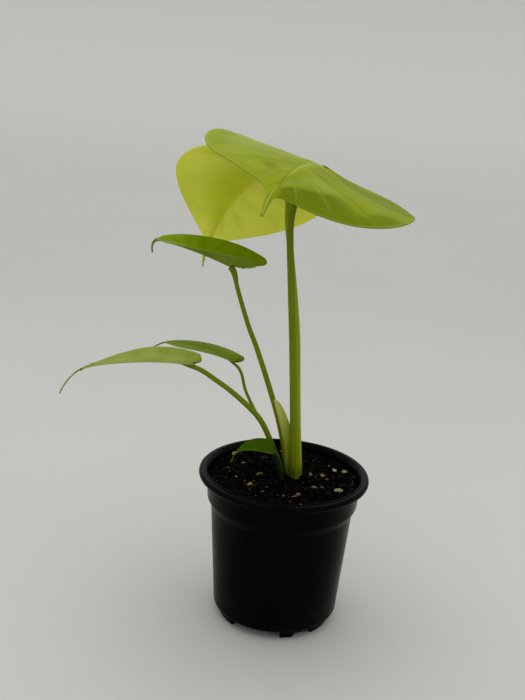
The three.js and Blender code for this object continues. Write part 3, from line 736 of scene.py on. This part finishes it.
def turned(profile, turns):
    bm = bmesh.new()
    points = [bm.verts.new((radius * mm, 0, height * mm)) for radius, height in profile]
    edges = [bm.edges.new(pair) for pair in zip(points, points[1:])]
    bmesh.ops.spin(bm, geom=points + edges, cent=(0, 0, 0), axis=(0, 0, 1), angle=2 * math.pi,
                   steps=turns, use_merge=True, use_duplicate=False)
    bmesh.ops.remove_doubles(bm, verts=bm.verts, dist=1e-6)
    bmesh.ops.recalc_face_normals(bm, faces=bm.faces)
    return bm


def archHeight(angle):
    # how high the foot ring is cut away at this angle, measured from the front towards +X
    for middle, width, height in pot["arches"]:
        reach = math.degrees(width / 2 / pot["foot"])
        for turn in range(pot["archTurns"]):
            away = abs((angle - middle - 360 / pot["archTurns"] * turn + 180) % 360 - 180)
            if away < reach:
                return height * clamp((reach - away) / pot["archEnd"])
    return 0.0


def potFinish():
    f = Finish("blackPlastic")
    grain = f.noise(potSkin["grain"], 2, 0.5)
    cloud = f.noise(potSkin["cloud"], 5, 0.6)
    drag = f.noise(potSkin["drag"], 4, 0.6, f.stretched(potSkin["dragStretch"]))
    dust = f.noise(potSkin["dust"], 3, 0.7).steps(0.62, 0.78) * cloud.steps(0.35, 0.7)
    splash = f.part(f.coords(), "Z").steps(0.045, 0.0) * cloud.steps(0.4, 0.75)
    color = f.mix(cloud.steps(0.3, 0.7) * 0.5, potSkin["black"], potSkin["worn"])
    color = f.mix(dust * 0.12 + splash * 0.05, color, potSkin["dirt"])
    rough = cloud.steps(0.25, 0.75, 0.19, 0.27) + drag * 0.06 + dust * 0.15
    normal = f.bumped(grain * 0.5 + drag * 0.5, potSkin["depth"], potSkin["strength"])
    return f.end(f.solid(color, rough, normal, potSkin["shine"]))


def makePot():
    bm = turned(potProfile(), pot["turns"])
    for vert in bm.verts:
        radius = math.hypot(vert.co.x, vert.co.y) / mm
        if radius > pot["foot"] - pot["ringWidth"] and vert.co.z < pot["ringTop"] * mm:
            angle = math.degrees(math.atan2(vert.co.x, -vert.co.y))
            vert.co.z = max(vert.co.z, archHeight(angle) * mm)
    piece = keep(bm, "nurseryPot", [potFinish()])
    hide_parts("pot")


makePot()
print("pot made")

# potting mix: a disc of rings that stand closer towards its edge, with a skirt down into the pot
soil = {"level": 93.4, "radius": 47.1, "depth": 14, "around": 300, "rings": 110, "closeness": 0.8,
        "skirt": 0.965, "swell": 0.7, "bank": 1.1, "clods": 1.1, "grit": 0.55, "fineGrit": 0.35,
        "flecks": 0.5}
# the mix's colours are darkened to near black as painted shade for the inside of the pot; only the bark
# flecks stay light
soilSkin = {"patch": 120, "fine": 1400, "cells": 700, "spread": 500, "depth": 0.0009, "strength": 0.8,
            "shine": {"Specular IOR Level": 0.03}, "dark": (0.0005, 0.0004, 0.0003),
            "shadedDamp": (0.002, 0.0016, 0.001), "fibre": (0.012, 0.009, 0.004), "bark": (0.22, 0.17, 0.06)}


def soilHeight(x, y):
    swell = soil["swell"] * math.sin(0.17 * x + 0.9) * math.cos(0.15 * y - 0.5)
    bank = soil["bank"] * smooth(30, 46, math.hypot(x, y))
    place = Vector((x, y, 0))
    clods = soil["clods"] * noise.fractal(place * 0.16, 0.9, 2.1, 3)
    grit = soil["grit"] * noise.noise(place * 0.9) \
        + soil["fineGrit"] * noise.noise(place * 1.9 + Vector((7, 3, 1)))
    flecks = soil["flecks"] * max(0.0, 0.45 - noise.voronoi(place * 0.55)[0][0]) * 2
    return soil["level"] + swell + bank + clods + grit + flecks


def soilFinish():
    f = Finish("pottingMix")
    patch = f.noise(soilSkin["patch"], 5, 0.7)
    fine = f.noise(soilSkin["fine"], 4, 0.7)
    spread = f.noise(soilSkin["spread"], 2, 0.5)
    fleck = f.cells(soilSkin["cells"]).steps(0.22, 0.1) * spread.steps(0.52, 0.62)
    color = f.mix(patch.steps(0.3, 0.7), soilSkin["dark"], soilSkin["shadedDamp"])
    color = f.mix(fine.steps(0.6, 0.85) * 0.4, color, soilSkin["fibre"])
    color = f.mix(fleck * 0.8, color, soilSkin["bark"])
    normal = f.bumped(fine * 0.7 + patch * 0.3, soilSkin["depth"], soilSkin["strength"])
    return f.end(f.solid(color, patch.steps(0.3, 0.7, 0.8, 0.97), normal, soilSkin["shine"]))


def makeSoil():
    bm = bmesh.new()
    bmesh.ops.create_grid(bm, x_segments=soil["around"], y_segments=soil["rings"], size=1)
    for vert in bm.verts:
        angle = (vert.co.x + 1) * math.pi
        radius = soil["radius"] * ((vert.co.y + 1) / 2) ** soil["closeness"]
        x, y = radius * math.cos(angle), radius * math.sin(angle)
        vert.co = Vector((x, y, soilHeight(x, y))) * mm
    bmesh.ops.remove_doubles(bm, verts=bm.verts, dist=1e-6)
    rim = [edge for edge in bm.edges if edge.is_boundary]
    for part in bmesh.ops.extrude_edge_only(bm, edges=rim)["geom"]:
        if isinstance(part, bmesh.types.BMVert):
            part.co.x *= soil["skirt"]
            part.co.y *= soil["skirt"]
            part.co.z = (soil["level"] - soil["depth"]) * mm
    closeHoles(bm)
    piece = keep(bm, "pottingMix", [soilFinish()])
    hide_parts("soil")


makeSoil()

# crumbs in the mix: those that show are (x, y, half length, kind), and each kind has loose ones besides
crumbs = {
    "placed": [
        (-33, 31, 1.9, "white"), (-12.5, 29, 1.6, "yellow"), (-15.5, 5, 1.9, "olive"),
        (-21, -14, 2.2, "yellow"), (-36, 9, 1.4, "tan"), (33, 17, 1.9, "white"), (39.5, 13, 1.5, "white"),
        (17.5, 9, 1.5, "tan"), (25, 9, 1.6, "tan"), (19.5, -13, 2.1, "tan"), (34, -15, 2.8, "white"),
        (9, -22, 1.7, "tan"), (-11, -16, 1.0, "olive"), (-13, -22, 1.1, "tan"), (0, -27.6, 1.2, "tan"),
        (24, -12, 1.3, "tan"), (28, 4, 1.2, "olive"), (-30, -3, 1.1, "tan"), (7, -27, 1.0, "tan"),
        (-26, 20, 1.2, "tan"),
    ],
    "seed": 11, "reach": 46, "stalksAt": (3, 4), "clear": 9, "sink": 0.42,
    "lumps": 0.6, "lumpScale": 1.6, "pits": 0.3, "pitScale": 4, "tilt": 0.5,
    "length": (0.9, 1.3), "breadth": (0.55, 0.85), "height": (0.4, 0.7),
    "size": (0.3, 0.75), "level": 1, "placedLevel": 3,
}
# two colours of each kind, the number of its loose crumbs, and their sizes and fineness where they differ
crumbKinds = {
    "white": {"light": (0.46, 0.40, 0.27), "dark": (0.25, 0.20, 0.11), "loose": 7},
    "yellow": {"light": (0.36, 0.29, 0.05), "dark": (0.18, 0.14, 0.02), "loose": 6},
    "olive": {"light": (0.19, 0.17, 0.04), "dark": (0.09, 0.08, 0.02), "loose": 16},
    "tan": {"light": (0.30, 0.21, 0.09), "dark": (0.12, 0.08, 0.03), "loose": 46},
    # the dark crumbs match the mix, darkened to near black as painted shade
    "dark": {"light": (0.003, 0.0023, 0.0015), "dark": (0.0006, 0.0005, 0.0004), "loose": 520,
             "size": (0.5, 1.7), "level": 2},
}
crumbSkin = {"patch": 500, "pits": 2500, "depth": 0.0006, "strength": 0.7,
             "shine": {"Specular IOR Level": 0.15}}


def crumbFinish(kind):
    f = Finish(f"{kind}Crumb")
    patch = f.noise(crumbSkin["patch"], 4, 0.65)
    color = f.mix(patch.steps(0.3, 0.7), crumbKinds[kind]["light"], crumbKinds[kind]["dark"])
    normal = f.bumped(f.noise(crumbSkin["pits"], 3, 0.6), crumbSkin["depth"], crumbSkin["strength"])
    return f.end(f.solid(color, patch.steps(0.2, 0.8, 0.65, 0.9), normal, crumbSkin["shine"]))


def addCrumb(bm, x, y, size, draw, level):
    made = bmesh.ops.create_icosphere(bm, subdivisions=level, radius=1)["verts"]
    stretch = Vector([draw.uniform(*crumbs[key]) for key in ("length", "breadth", "height")])
    offset = Vector((draw.random(), draw.random(), draw.random())) * 50
    spin = Matrix.Rotation(draw.uniform(0, 6.28), 3, "Z")
    turn = spin @ Matrix.Rotation(draw.uniform(-crumbs["tilt"], crumbs["tilt"]), 3, "X")
    middle = Vector((x, y, soilHeight(x, y) + size * stretch.z * (1 - 2 * crumbs["sink"])))
    for vert in made:
        rough = 1 + crumbs["lumps"] * noise.noise(vert.co * crumbs["lumpScale"] + offset) \
            + crumbs["pits"] * noise.noise(vert.co * crumbs["pitScale"] + offset)
        vert.co = (turn @ (vert.co * stretch) * rough * size + middle) * mm


def makeCrumbs():
    draw = random.Random(crumbs["seed"])
    for kind, look in crumbKinds.items():
        sizes, level = look.get("size", crumbs["size"]), look.get("level", crumbs["level"])
        bm = bmesh.new()
        for x, y, size, sort in crumbs["placed"]:
            if sort == kind:
                addCrumb(bm, x, y, size, draw, crumbs["placedLevel"])
        for k in range(look["loose"]):
            reach = crumbs["reach"] * math.sqrt(draw.random())
            angle = draw.uniform(0, 2 * math.pi)
            x, y = reach * math.cos(angle), reach * math.sin(angle)
            if math.hypot(x - crumbs["stalksAt"][0], y - crumbs["stalksAt"][1]) >= crumbs["clear"]:
                addCrumb(bm, x, y, draw.uniform(*sizes), draw, level)
        bmesh.ops.recalc_face_normals(bm, faces=bm.faces)
        keep(bm, f"{kind}Crumbs", [crumbFinish(kind)], shade=kind != "white")


makeCrumbs()
print("soil and crumbs made")

# the floor, a wide disc with a curved edge; its tones follow the depth behind the plant, in metres, as
# painted shade where the lamp lights the floor most and painted light further off and up the wall
stage = {"floor": 4500, "curve": 1500, "wall": 1510, "curveSteps": 12, "turns": 96, "rough": 0.85,
         "near": (0.52, 0.52, 0.508), "far": (0.425, 0.425, 0.418), "top": (0.535, 0.535, 0.53),
         "nearToFar": (-0.3, 0.9), "farToTop": (0.8, 5.0)}


def floorFinish():
    f = Finish("paleFloor")
    cloud = f.noise(3, 3, 0.5).steps(0.3, 0.7) * 0.1
    away = f.part(f.coords(), "Y")
    # painted shade: darker behind the plant, offsetting the lamp's pool of light
    color = f.mix(away.steps(*stage["nearToFar"]) * 0.9 + cloud, stage["near"], stage["far"])
    # painted light: lighter far off and up the curved wall
    color = f.mix(away.steps(*stage["farToTop"]), color, stage["top"])
    return f.end(f.solid(color, stage["rough"], f.bumped(f.noise(900, 3, 0.6), 0.0002, 0.2), {}))


def makeStage():
    profile = [(0, 0), (stage["floor"], 0)]
    for k in range(1, stage["curveSteps"] + 1):
        angle = k / stage["curveSteps"] * math.pi / 2
        profile.append((stage["floor"] + stage["curve"] * math.sin(angle),
                        stage["curve"] * (1 - math.cos(angle))))
    profile.append((stage["floor"] + stage["curve"], stage["wall"]))
    bm = turned(profile, stage["turns"])
    bmesh.ops.reverse_faces(bm, faces=bm.faces)
    floor = newObject(bm, "floor", [floorFinish()])


# plain soft light all round, and one wide lamp above and behind the plant
light = {"world": 0.95, "color": (1.0, 0.995, 0.97), "lamp": 2.2, "place": (-0.25, 0.35, 1.5),
         "target": (-0.02, 0, 0.2), "size": (1.4, 1.0)}


def makeLight():
    world = bpy.data.worlds.new("studio")
    world.use_nodes = True
    background = world.node_tree.nodes["Background"]
    background.inputs["Color"].default_value = (*light["color"], 1)
    background.inputs["Strength"].default_value = light["world"]
    bpy.context.scene.world = world
    lamp = bpy.data.lights.new("overhead", "AREA")
    lamp.shape = "RECTANGLE"
    lamp.size, lamp.size_y = light["size"]
    lamp.energy = light["lamp"]
    holder = bpy.data.objects.new("overhead", lamp)
    holder.location = light["place"]
    aim = Vector(light["target"]) - Vector(light["place"])
    holder.rotation_euler = aim.to_track_quat("-Z", "Y").to_euler()
    bpy.context.scene.collection.objects.link(holder)


# the camera, fitted to the pot's rim, wall and foot
view = {"place": (-0.019, -0.6147, 0.3718), "tilt": 17.5, "roll": 3.95, "lens": 54.1, "sensor": 36,
        "transform": "Standard", "look": "Medium High Contrast"}


def makeCamera():
    lens = bpy.data.cameras.new("camera")
    lens.lens = view["lens"]
    lens.sensor_width = view["sensor"]
    camera = bpy.data.objects.new("camera", lens)
    camera.location = view["place"]
    tilt = Matrix.Rotation(math.radians(90 - view["tilt"]), 3, "X")
    camera.rotation_euler = (tilt @ Matrix.Rotation(math.radians(view["roll"]), 3, "Z")).to_euler()
    scene = bpy.context.scene
    scene.collection.objects.link(camera)
    scene.camera = camera
    scene.view_settings.view_transform = view["transform"]
    scene.view_settings.look = view["look"]


makeStage()
makeLight()
makeCamera()
print("studio made")

print("scene ready")
